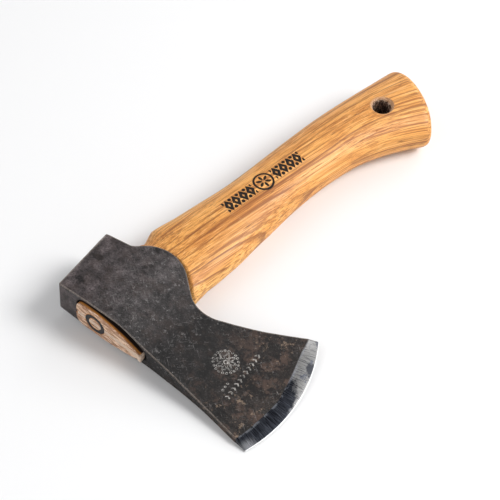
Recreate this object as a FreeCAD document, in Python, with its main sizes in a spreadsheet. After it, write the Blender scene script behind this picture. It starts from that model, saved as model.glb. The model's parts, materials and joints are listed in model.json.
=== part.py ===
"""Carving hatchet: forged head, hickory handle, wooden wedge and ring wedge.

Every piece is modelled in the hatchet's own axes: X runs from the poll to the bit, Y from the
top of the head down the handle, and Z through the thickness, with Z = 0 on the mid-plane and
the origin at the poll's top corner. One placement then lays the four pieces on their side, on
the cheek, the toe of the bit and the knob, as the hatchet lies on a table.
"""
import FreeCAD, Part
import os
import Sketcher
from FreeCAD import Placement, Rotation, Vector

# Driving dimensions, in millimetres and degrees.
DIMENSIONS = {
    # head: side outline
    "crown_end_x": 40, "crown_end_y": -0.5, "crown_radius": 563,
    "toe_x": 131.6, "toe_y": -13.4, "bit_radius": 87.5,
    "heel_x": 123.4, "heel_y": 62.1, "beard_radius": 360,
    "beard_x": 78, "beard_y": 38, "notch_radius": 19.6,
    "notch_x": 58, "notch_y": 38.3,
    "lug_front_x": 49, "lug_front_y": 45.8, "lug_radius": 22.5,
    "lug_back_x": 18, "lug_back_y": 45.4, "sweep_x": 13.4, "sweep_y": 42.2,
    "poll_far_x": -1.6, "poll_far_y": 40.8,
    # head: half thickness along X
    "blank_half": 14, "behind_poll": -3, "poll_half": 10.5,
    "cheek_start": 18, "cheek_end": 34, "cheek_half": 11.9,
    "neck_x": 55.5, "neck_half": 7.9, "neck_radius": 900,
    "blade_x": 98.5, "blade_half": 2.65, "blade_reach": 140, "blade_end_half": 1.5,
    "bit_centre_x": 49.1, "bit_centre_y": 15.8, "bevel_root_radius": 71, "bevel_root_half": 3.2,
    "edge_land": 0.15, "bevel_waste_radius": 92, "poll_chamfer": 0.5,
    # eye, with a wider mouth at the top of the head, and the tongue that fills it
    "mouth_poll_x": 12.6, "mouth_flat_half": 4.4, "mouth_shoulder_x": 17.7, "mouth_half": 9.9,
    "mouth_bit_x": 57.7, "mouth_tip_half": 2.8, "mouth_depth": 12,
    "eye_poll_x": 13.2, "eye_flat_half": 3.9, "eye_shoulder_x": 18, "eye_half": 9.2,
    "eye_bit_x": 56.7, "eye_tip_half": 2.2,
    "tongue_poll_x": 13.2, "tongue_flat_half": 3.8, "tongue_shoulder_x": 18, "tongue_half": 9.1,
    "tongue_bit_x": 56.5, "tongue_tip_half": 2.1,
    "eye_corner_radius": 5, "eye_side_radius": 65, "eye_tip_radius": 3,
    # tongue end, wooden wedge and ring wedge
    "tongue_rise": 1.1, "tongue_slant": 2.6, "tongue_foot": 52,
    "wedge_depth": 34, "wedge_top_half": 1.7, "wedge_foot_half": 0.4,
    "ring_x": 26, "ring_radius": 6.6, "ring_bore": 4.15, "ring_foot_radius": 5.2, "ring_depth": 13,
    # knob
    "butt_poll_x": 43.2, "butt_poll_y": 245.9, "butt_bit_x": 98.8, "butt_bit_y": 211.9,
    "butt_radius": 78, "butt_far_x": 150, "butt_far_y": 280, "butt_round": 3.5,
    "hole_x": 63.8, "hole_y": 208.9, "hole_radius": 5, "countersink": 2,
    # lying at rest
    "tilt_to_bit": 6.19, "tilt_to_knob": 1.98,
}

# Handle sections across Y: distance from the top, centre, half width (X), half thickness (Z).
HANDLE_SECTIONS = [
    (52, 36.1, 22.5, 10.8),
    (62, 36.7, 23.3, 11.8),
    (77, 39.1, 22.2, 12.7),
    (92, 41.1, 20.5, 13.2),
    (107, 43.3, 19.0, 13.4),
    (124, 45.1, 17.9, 13.4),
    (143, 47.3, 17.6, 13.3),
    (163, 50.5, 18.1, 13.4),
    (179, 54.0, 19.2, 13.7),
    (193, 58.6, 21.2, 14.1),
    (207, 64.5, 24.0, 14.7),
    (222, 72.2, 28.3, 15.0),
    (240, 81.8, 33.7, 15.0),
    (254, 89.1, 37.4, 14.8),
]
SECTION_FIELDS = ("y", "centre", "half_width", "half_thickness")

doc = FreeCAD.newDocument("carving_hatchet")
dims = doc.addObject("Spreadsheet::Sheet", "dims")


def add_cell(row, alias, number):
    dims.set("A%d" % row, alias)
    dims.set("B%d" % row, str(number))
    dims.setAlias("B%d" % row, alias)


def fill_sheet():
    row = 1
    for alias, number in DIMENSIONS.items():
        add_cell(row, alias, number)
        row += 1
    for index, section in enumerate(HANDLE_SECTIONS):
        for field, number in zip(SECTION_FIELDS, section):
            add_cell(row, "section_%d_%s" % (index, field), number)
            row += 1
    doc.recompute()


def number(alias):
    """Value of a cell; a leading minus negates it and an empty alias is zero."""
    if not alias:
        return 0.0
    if alias.startswith("-"):
        return -number(alias[1:])
    return float(dims.get(alias))


def expression(alias):
    return "-dims." + alias[1:] if alias.startswith("-") else "dims." + alias


def new_sketch(owner, name, plane):
    sketch = owner.newObject("Sketcher::SketchObject", name)
    origin_plane = [part for part in owner.Origin.OriginFeatures if part.Role == plane][0]
    sketch.AttachmentSupport = [(origin_plane, "")]
    sketch.MapMode = "FlatFace"
    return sketch


def arc_between(start, end, radius, side):
    """Short arc from start to end; side is +1 to bulge left of that direction, -1 right."""
    chord = end - start
    half = chord.Length / 2
    normal = Vector(-chord.y, chord.x, 0).normalize() * side
    sagitta = radius - (radius ** 2 - half ** 2) ** 0.5
    return Part.Arc(start, start + chord / 2 + normal * sagitta, end)


def closed_outline(sketch, corners, arcs):
    """Closed outline through corners, given as pairs of aliases. arcs maps the number of the
    corner where an arc starts to its radius alias and its side; other spans are straight."""
    points = [Vector(number(x), number(y), 0) for x, y in corners]
    spans = []
    for index, start in enumerate(points):
        end = points[(index + 1) % len(points)]
        if index in arcs:
            radius, side = arcs[index]
            shape = arc_between(start, end, number(radius), side)
        else:
            shape = Part.LineSegment(start, end)
        spans.append(sketch.addGeometry(shape, False))
    # A sketch counts an arc's ends anticlockwise, so an arc that bulges left runs backwards.
    backwards = [index in arcs and arcs[index][1] > 0 for index in range(len(spans))]
    ends = [(2, 1) if flag else (1, 2) for flag in backwards]
    rules = []
    for index, span in enumerate(spans):
        following = (index + 1) % len(spans)
        first, last = ends[index]
        rules.append(("Coincident", (span, last, spans[following], ends[following][0]), None))
        for kind, alias in zip(("DistanceX", "DistanceY"), corners[index]):
            rules.append((kind, (-1, 1, span, first, number(alias)), alias))
    for index, (radius, side) in arcs.items():
        rules.append(("Radius", (spans[index], number(radius)), radius))
    sketch.addConstraint([Sketcher.Constraint(kind, *target) for kind, target, alias in rules])
    for index, (kind, target, alias) in enumerate(rules):
        if alias:
            sketch.setExpression("Constraints[%d]" % index, expression(alias))


def draw_eye(sketch, name):
    """Section of the eye or of the tongue: a flat with round corners towards the poll, swelling
    sides, and a small round tip towards the bit."""
    corners = [
        (name + "_poll_x", "-" + name + "_flat_half"), (name + "_poll_x", name + "_flat_half"),
        (name + "_shoulder_x", name + "_half"), (name + "_bit_x", name + "_tip_half"),
        (name + "_bit_x", "-" + name + "_tip_half"), (name + "_shoulder_x", "-" + name + "_half"),
    ]
    closed_outline(sketch, corners, {
        1: ("eye_corner_radius", 1), 2: ("eye_side_radius", 1), 3: ("eye_tip_radius", 1),
        4: ("eye_side_radius", 1), 5: ("eye_corner_radius", 1)})


def add_primitive(kind, name, **bindings):
    """Part primitive whose properties are bound; __ in a keyword stands for a dot."""
    primitive = doc.addObject(kind, name)
    for path, formula in bindings.items():
        primitive.setExpression(path.replace("__", "."), formula)
    return primitive


def combine(kind, name, base, tool):
    result = doc.addObject(kind, name)
    result.Base, result.Tool = base, tool
    return result


def turned(primitive, axis, degrees):
    """Turn a primitive about one of its own axes, keeping its bound position."""
    primitive.Placement = Placement(Vector(), Rotation(axis, degrees))


def build_head():
    head = doc.addObject("PartDesign::Body", "axe_head")
    outline = new_sketch(head, "side_outline", "XY_Plane")
    corners = [("", ""), ("crown_end_x", "crown_end_y"), ("toe_x", "toe_y"), ("heel_x", "heel_y"),
               ("beard_x", "beard_y"), ("notch_x", "notch_y"), ("lug_front_x", "lug_front_y"),
               ("lug_back_x", "lug_back_y"), ("sweep_x", "sweep_y"), ("poll_far_x", "poll_far_y")]
    closed_outline(outline, corners, {
        1: ("crown_radius", 1), 2: ("bit_radius", -1), 3: ("beard_radius", 1),
        4: ("notch_radius", 1), 6: ("lug_radius", -1)})
    blank = head.newObject("PartDesign::Pad", "blank")
    blank.Profile = outline
    blank.SideType = "Symmetric"
    blank.setExpression("Length", "2 * dims.blank_half")

    for side, sign in (("upper", ""), ("lower", "-")):
        waste = new_sketch(head, side + "_cheek_waste", "XZ_Plane")
        corners = [("behind_poll", sign + "poll_half"), ("cheek_start", sign + "cheek_half"),
                   ("cheek_end", sign + "cheek_half"), ("neck_x", sign + "neck_half"),
                   ("blade_x", sign + "blade_half"), ("blade_reach", sign + "blade_end_half"),
                   ("blade_reach", sign + "blank_half"), ("behind_poll", sign + "blank_half")]
        closed_outline(waste, corners, {3: ("neck_radius", -1 if side == "upper" else 1)})
        cheek = head.newObject("PartDesign::Pocket", side + "_cheek")
        cheek.Profile = waste
        cheek.Type = "ThroughAll"
        cheek.SideType = "Symmetric"
    doc.recompute()

    for name, depth in (("eye", "dims.heel_y - dims.toe_y"), ("mouth", "dims.mouth_depth")):
        opening = new_sketch(head, name + "_outline", "XZ_Plane")
        draw_eye(opening, name)
        if name == "eye":
            opening.setExpression("AttachmentOffset.Base.z", "-dims.toe_y")
        socket = head.newObject("PartDesign::Pocket", name)
        socket.Profile = opening
        socket.setExpression("Length", depth)
    doc.recompute()

    for side, sign in (("upper", ""), ("lower", "-")):
        waste = new_sketch(head, side + "_bevel_waste", "XZ_Plane")
        corners = [("bevel_root_radius", sign + "bevel_root_half"), ("bit_radius", sign + "edge_land"),
                   ("bevel_waste_radius", sign + "edge_land"),
                   ("bevel_waste_radius", sign + "bevel_root_half")]
        closed_outline(waste, corners, {})
        waste.setExpression("AttachmentOffset.Base.x", "dims.bit_centre_x")
        waste.setExpression("AttachmentOffset.Base.z", "-dims.bit_centre_y")
        bevel = head.newObject("PartDesign::Groove", side + "_bevel")
        bevel.Profile = waste
        bevel.ReferenceAxis = (waste, ["V_Axis"])
        bevel.Angle = 360
    doc.recompute()

    poll_edges = ["Edge%d" % (index + 1) for index, edge in enumerate(head.Shape.Edges)
                  if max(vertex.X for vertex in edge.Vertexes) < 0.01]
    chamfer = head.newObject("PartDesign::Chamfer", "poll_chamfer")
    chamfer.Base = (bevel, poll_edges)
    chamfer.setExpression("Size", "dims.poll_chamfer")
    doc.recompute()
    return head


def extruded_outline(name, corners, arcs, half_depth):
    """Solid of an outline in the XY plane, extruded both ways through the thickness."""
    sketch = doc.addObject("Sketcher::SketchObject", name + "_outline")
    closed_outline(sketch, corners, arcs)
    solid = doc.addObject("Part::Extrusion", name)
    solid.Base = sketch
    solid.DirMode = "Normal"
    solid.Solid = True
    solid.Symmetric = True
    solid.setExpression("LengthFwd", "2 * " + half_depth)
    return solid


def build_shaft():
    """Outer form of the handle below the head, lofted through oval sections."""
    sections = []
    for index in range(len(HANDLE_SECTIONS)):
        cells = "dims.section_%d_" % index
        oval = doc.addObject("Part::Ellipse", "section_%d" % index)
        turned(oval, Vector(1, 0, 0), 90)
        oval.setExpression("MajorRadius", cells + "half_width")
        oval.setExpression("MinorRadius", cells + "half_thickness")
        oval.setExpression("Placement.Base.x", cells + "centre")
        oval.setExpression("Placement.Base.y", cells + "y")
        sections.append(oval)
    shaft = doc.addObject("Part::Loft", "shaft")
    shaft.Sections = sections
    shaft.Solid = True
    return shaft


def build_tongue(name):
    """Straight tongue that fills the eye; its end stands proud and rises towards the bit."""
    outline = doc.addObject("Sketcher::SketchObject", name + "_outline")
    turned(outline, Vector(1, 0, 0), 90)
    draw_eye(outline, "tongue")
    prism = doc.addObject("Part::Extrusion", name + "_prism")
    prism.Base = outline
    prism.DirMode = "Custom"
    prism.Dir = Vector(0, 1, 0)
    prism.Solid = True
    prism.setExpression("LengthFwd", "dims.tongue_foot + 1")
    prism.setExpression("LengthRev", "dims.blank_half")
    waste = add_primitive("Part::Box", name + "_end_waste", Length="dims.blade_reach",
                          Width="dims.blade_reach", Height="4 * dims.blank_half")
    turned(waste, Vector(0, 0, 1), -number("tongue_slant") - 90)
    waste.setExpression("Placement.Base.y", "-dims.tongue_rise")
    waste.setExpression("Placement.Base.z", "-2 * dims.blank_half")
    return combine("Part::Cut", name, prism, waste)


def build_wedge_form(name):
    """Wooden wedge before it is cut to the tongue, thick at the top and thin in the kerf."""
    form = add_primitive(
        "Part::Wedge", name,
        Xmin="0", Xmax="dims.neck_x + dims.eye_corner_radius",
        X2min="0", X2max="dims.neck_x + dims.eye_corner_radius",
        Ymin="-dims.blank_half", Ymax="dims.wedge_depth",
        Zmin="-dims.wedge_top_half", Zmax="dims.wedge_top_half",
        Z2min="-dims.wedge_foot_half", Z2max="dims.wedge_foot_half")
    return form


def build_ring_form(name):
    """Steel ring, tapered outside, square to the tongue's end and flush with it."""
    outside = add_primitive("Part::Cone", name + "_outside", Radius1="dims.ring_radius",
                            Radius2="dims.ring_foot_radius", Height="dims.ring_depth")
    inside = add_primitive("Part::Cylinder", name + "_inside", Radius="dims.ring_bore",
                           Height="dims.ring_depth")
    lean = Rotation(Vector(0, 0, 1), -number("tongue_slant")) * Rotation(Vector(1, 0, 0), -90)
    top = "-dims.tongue_rise - dims.ring_x * tan(dims.tongue_slant)"
    for solid in (outside, inside):
        solid.Placement = Placement(Vector(), lean)
        solid.setExpression("Placement.Base.x", "dims.ring_x")
        solid.setExpression("Placement.Base.y", top)
    return combine("Part::Cut", name, outside, inside)


def build_hole():
    """Hanging hole through the knob with a countersink at each side."""
    drill = add_primitive("Part::Cylinder", "drill", Radius="dims.hole_radius",
                          Height="4 * dims.blank_half")
    drill.setExpression("Placement.Base.z", "-2 * dims.blank_half")
    cutters = [drill]
    for side in (1, -1):
        sink = add_primitive("Part::Cone", "sink_%d" % side, Radius1="dims.hole_radius",
                             Radius2="dims.hole_radius + 2 * dims.countersink",
                             Height="2 * dims.countersink")
        turned(sink, Vector(1, 0, 0), 0 if side > 0 else 180)
        sink.setExpression("Placement.Base.z",
                           "%d * (dims.section_10_half_thickness - dims.countersink)" % side)
        cutters.append(sink)
    for cutter in cutters:
        cutter.setExpression("Placement.Base.x", "dims.hole_x")
        cutter.setExpression("Placement.Base.y", "dims.hole_y")
    hole = doc.addObject("Part::MultiFuse", "hole")
    hole.Shapes = cutters
    return hole


def build_handle():
    stick = combine("Part::Fuse", "stick", build_shaft(), build_tongue("tongue"))
    waste = extruded_outline(
        "butt_waste",
        [("butt_poll_x", "butt_poll_y"), ("butt_bit_x", "butt_bit_y"),
         ("butt_far_x", "butt_bit_y"), ("butt_far_x", "butt_far_y"), ("butt_poll_x", "butt_far_y")],
        {0: ("butt_radius", 1)}, "(2 * dims.blank_half)")
    trimmed = combine("Part::Cut", "trimmed", stick, waste)
    doc.recompute()
    rim = [index for index, edge in enumerate(trimmed.Shape.Edges, 1)
           if edge.BoundBox.YMin > number("butt_bit_y") and edge.BoundBox.ZLength > 1]
    rounded = doc.addObject("Part::Fillet", "rounded")
    rounded.Base = trimmed
    rounded.Edges = [(index, number("butt_round"), number("butt_round")) for index in rim]
    drilled = combine("Part::Cut", "drilled", rounded, build_hole())
    kerfed = combine("Part::Cut", "kerfed", drilled, build_wedge_form("kerf"))
    return combine("Part::Cut", "handle", kerfed, build_ring_form("ring_slot"))


def build_wood_wedge():
    """Wooden wedge, cut flush with the tongue's end and bitten through by the ring."""
    form = build_wedge_form("wedge_form")
    fitted = combine("Part::Common", "fitted_wedge", form, build_tongue("wedge_limit"))
    return combine("Part::Cut", "wood_wedge", fitted, build_ring_form("wedge_slot"))


def lay_at_rest(pieces):
    """Tilt the hatchet on to its side, then put the origin under its middle, on the table."""
    tilt = Rotation(Vector(0, 1, 0), number("tilt_to_bit")) \
        * Rotation(Vector(1, 0, 0), number("tilt_to_knob"))
    box = FreeCAD.BoundBox()
    for piece in pieces:
        for point in piece.Shape.tessellate(0.02)[0]:
            box.add(tilt.multVec(point))
    rest = Placement(Vector(-box.Center.x, -box.Center.y, -box.ZMin), tilt)
    for piece in pieces:
        piece.Placement = rest
    doc.recompute()


def check_and_write(pieces):
    for thing in doc.Objects:
        if "Invalid" in thing.State or "Error" in thing.State:
            raise RuntimeError("%s failed: %s" % (thing.Name, thing.getStatusString()))
    os.makedirs("parts", exist_ok=True)
    for piece in pieces:
        shape = piece.Shape
        if shape.isNull() or not shape.isValid() or len(shape.Solids) != 1:
            raise RuntimeError(piece.Label + " is not one valid solid")
        shape.exportStep("parts/" + piece.Label + ".step")
        print(piece.Label, round(shape.Volume), "mm3")


fill_sheet()
pieces = [build_head(), build_handle(), build_wood_wedge(), build_ring_form("ring_wedge")]
doc.recompute()
lay_at_rest(pieces)
check_and_write(pieces)
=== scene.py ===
import json
import math

import bmesh
import bpy
import numpy as np
from mathutils import Matrix, Quaternion, Vector


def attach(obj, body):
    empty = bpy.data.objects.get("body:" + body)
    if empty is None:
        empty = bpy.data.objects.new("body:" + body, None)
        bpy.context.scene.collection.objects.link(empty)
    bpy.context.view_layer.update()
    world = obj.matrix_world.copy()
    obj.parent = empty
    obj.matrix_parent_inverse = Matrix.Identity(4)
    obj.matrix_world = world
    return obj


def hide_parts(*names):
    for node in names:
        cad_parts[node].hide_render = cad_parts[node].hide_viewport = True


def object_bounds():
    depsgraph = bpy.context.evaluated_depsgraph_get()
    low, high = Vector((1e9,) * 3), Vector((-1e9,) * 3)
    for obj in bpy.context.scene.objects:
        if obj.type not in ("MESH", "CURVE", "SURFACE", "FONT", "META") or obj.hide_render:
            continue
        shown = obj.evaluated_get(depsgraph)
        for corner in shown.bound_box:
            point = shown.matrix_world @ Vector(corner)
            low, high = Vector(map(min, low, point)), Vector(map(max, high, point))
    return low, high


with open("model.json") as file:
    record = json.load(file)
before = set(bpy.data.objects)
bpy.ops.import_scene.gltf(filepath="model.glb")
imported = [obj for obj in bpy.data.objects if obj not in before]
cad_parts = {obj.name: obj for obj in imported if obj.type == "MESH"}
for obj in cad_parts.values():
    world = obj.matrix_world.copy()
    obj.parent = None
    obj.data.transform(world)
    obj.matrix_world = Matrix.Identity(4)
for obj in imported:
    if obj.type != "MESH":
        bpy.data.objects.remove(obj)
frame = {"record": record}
cad_box = [list(corner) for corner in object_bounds()]

# The hatchet's own axes: X from the poll to the bit, Y down the handle, Z through the thickness,
# origin at the poll's top corner. They come from the two mounts; shapes are written in millimetres.
MM = 0.001
POLL_FAR = (-1.6, 40.8)
HOLE, HOLE_RADIUS = (63.8, 208.9), 5.0


def own_axes():
    """Rotation and origin of the hatchet's axes, from where its two mounts are in the row."""
    mounts = {mount["name"]: mount for mount in frame["record"]["mounts"]}
    hole = Vector(mounts["hanging_hole"]["pos_m"])
    z_axis = Vector(mounts["hanging_hole"]["axis"]).normalized()
    span = hole - Vector(mounts["poll_face"]["pos_m"])
    along_x, along_y = HOLE[0] - POLL_FAR[0] / 2, HOLE[1] - POLL_FAR[1] / 2
    x_axis = (along_x * span - along_y * z_axis.cross(span)).normalized()
    y_axis = z_axis.cross(x_axis).normalized()
    z_axis = x_axis.cross(y_axis)
    rotation = Matrix((x_axis, y_axis, z_axis)).transposed()
    return rotation, hole - rotation @ Vector((*HOLE, 0)) * MM


ROTATION, ORIGIN = own_axes()


def to_row(points):
    """Millimetres in the hatchet's axes to metres in the row frame."""
    turned = np.asarray(points, float) @ np.array(ROTATION).T * MM
    return turned + np.array(ORIGIN)


# ---------------------------------------------------------------- numbers and curves

def lattice_value(ix, iy, iz, seed):
    """Repeatable pseudo-random value in 0..1 for each lattice corner."""
    mixed = (ix * 374761393 + iy * 668265263 + iz * 2147483647 + seed * 974634777) & 0xFFFFFFFF
    mixed = ((mixed ^ (mixed >> 13)) * 1274126177) & 0xFFFFFFFF
    mixed = (mixed ^ (mixed >> 16)) & 0xFFFFFF
    return mixed / float(0xFFFFFF)


def noise(points, size, seed=0):
    """Smooth noise in -1..1 with features of about size millimetres. size may be three numbers."""
    scaled = np.asarray(points, float) / np.asarray(size, float) + 1000.5 + seed * 17.31
    cell = np.floor(scaled).astype(np.int64)
    part = scaled - cell
    part = part * part * part * (part * (part * 6 - 15) + 10)
    total = np.zeros(len(scaled))
    for dx in (0, 1):
        for dy in (0, 1):
            for dz in (0, 1):
                weight = (np.where(dx, part[:, 0], 1 - part[:, 0])
                          * np.where(dy, part[:, 1], 1 - part[:, 1])
                          * np.where(dz, part[:, 2], 1 - part[:, 2]))
                corner = lattice_value(cell[:, 0] + dx, cell[:, 1] + dy, cell[:, 2] + dz, seed)
                total += weight * corner
    return total * 2 - 1


def smoothstep(low, high, value):
    share = np.clip((np.asarray(value, float) - low) / (high - low), 0, 1)
    return share * share * (3 - 2 * share)


def through(xs, ys, x):
    """Smooth curve through the points, without overshoot (monotone cubic)."""
    xs, ys, x = np.asarray(xs, float), np.asarray(ys, float), np.asarray(x, float)
    steps = np.diff(xs)
    slopes = np.diff(ys) / steps
    tangents = np.concatenate(([slopes[0]], (slopes[:-1] + slopes[1:]) / 2, [slopes[-1]]))
    tangents[1:-1][slopes[:-1] * slopes[1:] <= 0] = 0
    limit = 3 * np.minimum(np.abs(np.r_[slopes[0], slopes]), np.abs(np.r_[slopes, slopes[-1]]))
    tangents = np.clip(tangents, -limit, limit)
    index = np.clip(np.searchsorted(xs, x) - 1, 0, len(xs) - 2)
    step = steps[index]
    t = np.clip((x - xs[index]) / step, 0, 1)
    return ((2 * t ** 3 - 3 * t ** 2 + 1) * ys[index]
            + (t ** 3 - 2 * t ** 2 + t) * step * tangents[index]
            + (3 * t ** 2 - 2 * t ** 3) * ys[index + 1]
            + (t ** 3 - t ** 2) * step * tangents[index + 1])


def arc(start, end, radius, side, spacing=0.5):
    """Points of the short arc from start to end, the end left out. side +1 bulges to the left."""
    start, end = np.asarray(start, float), np.asarray(end, float)
    chord = end - start
    half = np.hypot(*chord) / 2
    normal = np.array([-chord[1], chord[0]]) / (2 * half) * side
    centre = (start + end) / 2 - normal * math.sqrt(radius ** 2 - half ** 2)
    first = math.atan2(*(start - centre)[::-1])
    turn = -side * 2 * math.asin(half / radius)
    count = max(3, int(abs(turn) * radius / spacing))
    angles = first + turn * np.arange(count) / count
    return centre + radius * np.stack([np.cos(angles), np.sin(angles)], 1)


def straight(start, end, spacing=0.5):
    start, end = np.asarray(start, float), np.asarray(end, float)
    count = max(2, int(np.hypot(*(end - start)) / spacing))
    return start + (end - start) * (np.arange(count) / count)[:, None]


def run_lengths(line):
    """Length of an open line up to each of its points."""
    return np.r_[0, np.cumsum(np.hypot(*np.diff(line, axis=0).T))]


def resample(line, shares):
    """Points of an open line at the given shares of its length."""
    lengths = run_lengths(line)
    wanted = np.asarray(shares) * lengths[-1]
    return np.stack([np.interp(wanted, lengths, line[:, axis]) for axis in range(2)], 1)


def quadratic(start, corner, end, shares):
    """Points of the curve from start to end that heads for the corner."""
    return [(1 - t) ** 2 * start + 2 * t * (1 - t) * corner + t ** 2 * end for t in shares]


def outward(line, closed=False):
    """Unit normals to the left of each point's direction of travel."""
    if closed:
        ahead = np.roll(line, -1, 0) - np.roll(line, 1, 0)
    else:
        ahead = np.gradient(line, axis=0)
    normal = np.stack([-ahead[:, 1], ahead[:, 0]], 1)
    return normal / np.maximum(np.hypot(*normal.T), 1e-9)[:, None]


# ---------------------------------------------------------------- meshes

def link_object(name, data):
    made = bpy.data.objects.new(name, data)
    bpy.context.scene.collection.objects.link(made)
    return made


def closed_mesh(name, row_points, faces):
    """Object from points in the row frame, with its faces turned outwards."""
    mesh = bpy.data.meshes.new(name)
    mesh.from_pydata([tuple(point) for point in row_points], [], faces)
    with_bmesh(mesh, lambda form: bmesh.ops.recalc_face_normals(form, faces=form.faces))
    return link_object(name, mesh)


def make_piece(name, points, faces, slot, node, sharp, **attributes):
    """A piece from points in the hatchet's axes, kept inside the CAD box and riding on the root."""
    piece = closed_mesh(name, np.clip(to_row(points), *cad_box), faces)
    for key, values in attributes.items():
        layer = piece.data.attributes.new(key, "FLOAT", "POINT")
        layer.data.foreach_set("value", np.asarray(values, np.float32))
    shade(piece.data, sharp)
    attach(piece, "root")
    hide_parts(node)
    return piece


def with_bmesh(mesh, work):
    """Do some work on a mesh in its editable form."""
    form = bmesh.new()
    form.from_mesh(mesh)
    work(form)
    form.to_mesh(mesh)
    form.free()


def shade(mesh, sharp):
    mesh.polygons.foreach_set("use_smooth", [True] * len(mesh.polygons))
    mesh.set_sharp_from_angle(angle=math.radians(sharp))
    mesh.update()


def cut_away(piece, points, faces, sharp):
    """Cut a closed form, given in the hatchet's axes, out of a piece."""
    cutter = closed_mesh("cutter", to_row(points), faces)
    mesh = cutter.data
    modifier = piece.modifiers.new("cut", "BOOLEAN")
    modifier.operation, modifier.solver, modifier.object = "DIFFERENCE", "EXACT", cutter
    bpy.context.view_layer.update()
    evaluated = piece.evaluated_get(bpy.context.evaluated_depsgraph_get())
    result = bpy.data.meshes.new_from_object(evaluated)
    piece.modifiers.clear()
    old, piece.data = piece.data, result
    result.name = piece.name
    bpy.data.meshes.remove(old)
    bpy.data.objects.remove(cutter)
    bpy.data.meshes.remove(mesh)
    with_bmesh(result, weld_slivers)
    shade(result, sharp)


SHARP, SHARP_WOOD, SHARP_RING = 40, 42, 50
SLIVER = 2e-6


def weld_slivers(form):
    """Split the many-sided faces that a cut leaves, and close up the slivers among them."""
    bmesh.ops.triangulate(form, faces=[face for face in form.faces if len(face.verts) > 4])
    bmesh.ops.dissolve_degenerate(form, dist=SLIVER, edges=form.edges)


def between(first, second):
    """Quads, or triangles where second is one point, between two closed loops of point numbers."""
    if np.isscalar(second):
        return np.stack([first, np.roll(first, -1), np.full(len(first), second)], 1).tolist()
    return np.stack([first, np.roll(first, -1), np.roll(second, -1), second], 1).tolist()


def ring_faces(rings, size):
    """Quads between consecutive closed rings of equal size."""
    index = np.arange(size)
    faces = []
    for start in range(0, (rings - 1) * size, size):
        faces += between(start + index, start + size + index)
    return faces


def grid_faces(block):
    """Quads of a grid of point numbers."""
    return np.stack([block[:-1, :-1], block[:-1, 1:], block[1:, 1:], block[1:, :-1]], -1).reshape(-1, 4)


def capped_rings(rings):
    """Points and faces of closed rings joined into a solid, each end closed by one face."""
    size = len(rings[0])
    faces = ring_faces(len(rings), size)
    faces.append(list(range(size)))
    faces.append(list(range(len(rings) * size - 1, (len(rings) - 1) * size - 1, -1)))
    return np.concatenate(rings), faces


# ---------------------------------------------------------------- the head

CROWN = [(0, 0), (40, -0.5), (131.6, -13.4)]
CROWN_RADIUS = 563
TOE, HEEL = (131.6, -13.4), (123.4, 62.1)
BIT_CENTRE, BIT_RADIUS = (49.1, 15.8), 87.5
THICKNESS_X = (0, 6.8, 12.8, 18, 24, 34, 42, 49, 55.5, 62.7, 69.7, 77, 84, 91.5,
               98.5, 105.7, 113, 121, 140)
HALF_THICKNESS = (10.55, 11.15, 11.6, 11.85, 11.9, 11.75, 10.7, 9.3, 7.8, 6.75, 5.95, 5.1, 4.15, 3.3,
                  2.65, 2.45, 2.25, 2.0, 1.5)
ARRIS = 0.5
EDGE_HALF = 0.07
SHEET_STEP = 0.5
FINE_X, FINE_Y = (83, 111), (-9, 31)
SEAL = (93.9, 20.4)
CORNER_RADII, CORNER_POINTS = (0.9, 0.9, 0.5, 0.8), 7
RIM_CROWN = 0.45
ARRIS_SHARE, ARRIS_ROWS, WALL_ROWS = 0.42, 4, 22
PUNCH_DEPTH = 0.3
GRIND_Y = (-16, -10, -2, 5, 12, 18, 22, 30, 40, 50, 58, 64)
GRIND_RADIUS = (79.9, 79.9, 79.4, 78.9, 79.0, 79.2, 78.9, 78.4, 78.5, 79.6, 81.8, 83.6)


def crown_line():
    return np.concatenate([straight(CROWN[0], CROWN[1]), arc(CROWN[1], CROWN[2], CROWN_RADIUS, 1),
                           [CROWN[2]]])


def under_line():
    """Underside from the heel to the poll."""
    return np.concatenate([
        arc(HEEL, (78, 38), 360, 1), arc((78, 38), (58, 38.3), 19.6, 1),
        straight((58, 38.3), (49, 45.8)), arc((49, 45.8), (18, 45.4), 22.5, -1),
        arc((18, 45.4), (14.4, 42.5), 14, 1), arc((14.4, 42.5), (12.6, 42.1), 3, 1),
        straight((12.6, 42.1), POLL_FAR), [POLL_FAR]])


def edge_line():
    return np.concatenate([arc(TOE, HEEL, BIT_RADIUS, -1), [HEEL]])


def soften_corner(line, closed_index, radius):
    """Replace a corner of a closed line by a small arc, drawn as a quadratic curve."""
    length = np.hypot(*np.diff(np.vstack([line, line[:1]]), axis=0).T)
    before = after = closed_index
    run = 0
    while run < radius:
        before -= 1
        run += length[before % len(line)]
    run = 0
    while run < radius:
        run += length[after % len(line)]
        after += 1
    start, corner, end = line[before % len(line)], line[closed_index], line[after % len(line)]
    return before, after, np.array(quadratic(start, corner, end, np.linspace(0, 1, CORNER_POINTS)))


def head_sides():
    """The four sides of the head's outline, split in the middle of their rounded corners."""
    sides = [straight(POLL_FAR, (0, 0)), crown_line()[:-1], edge_line()[:-1],
             under_line()[:-1]]
    line = np.concatenate(sides)
    starts = np.cumsum([0] + [len(side) for side in sides])[:4]
    pieces, marks = [], []
    fixes = [soften_corner(line, start, radius) for start, radius in zip(starts, CORNER_RADII)]
    for number, (_, after, curve) in enumerate(fixes):
        marks.append(sum(len(piece) for piece in pieces) + CORNER_POINTS // 2)
        pieces.append(curve)
        stop = fixes[(number + 1) % 4][0] % len(line)
        pieces.append(line[after + 1:stop])
    smooth = np.concatenate(pieces)
    smooth = np.roll(smooth, -marks[0], 0)
    cuts = [mark - marks[0] for mark in marks] + [len(smooth)]
    closed = np.vstack([smooth, smooth[:1]])
    return [closed[cuts[i]:cuts[i + 1] + 1] for i in range(4)]


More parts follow.
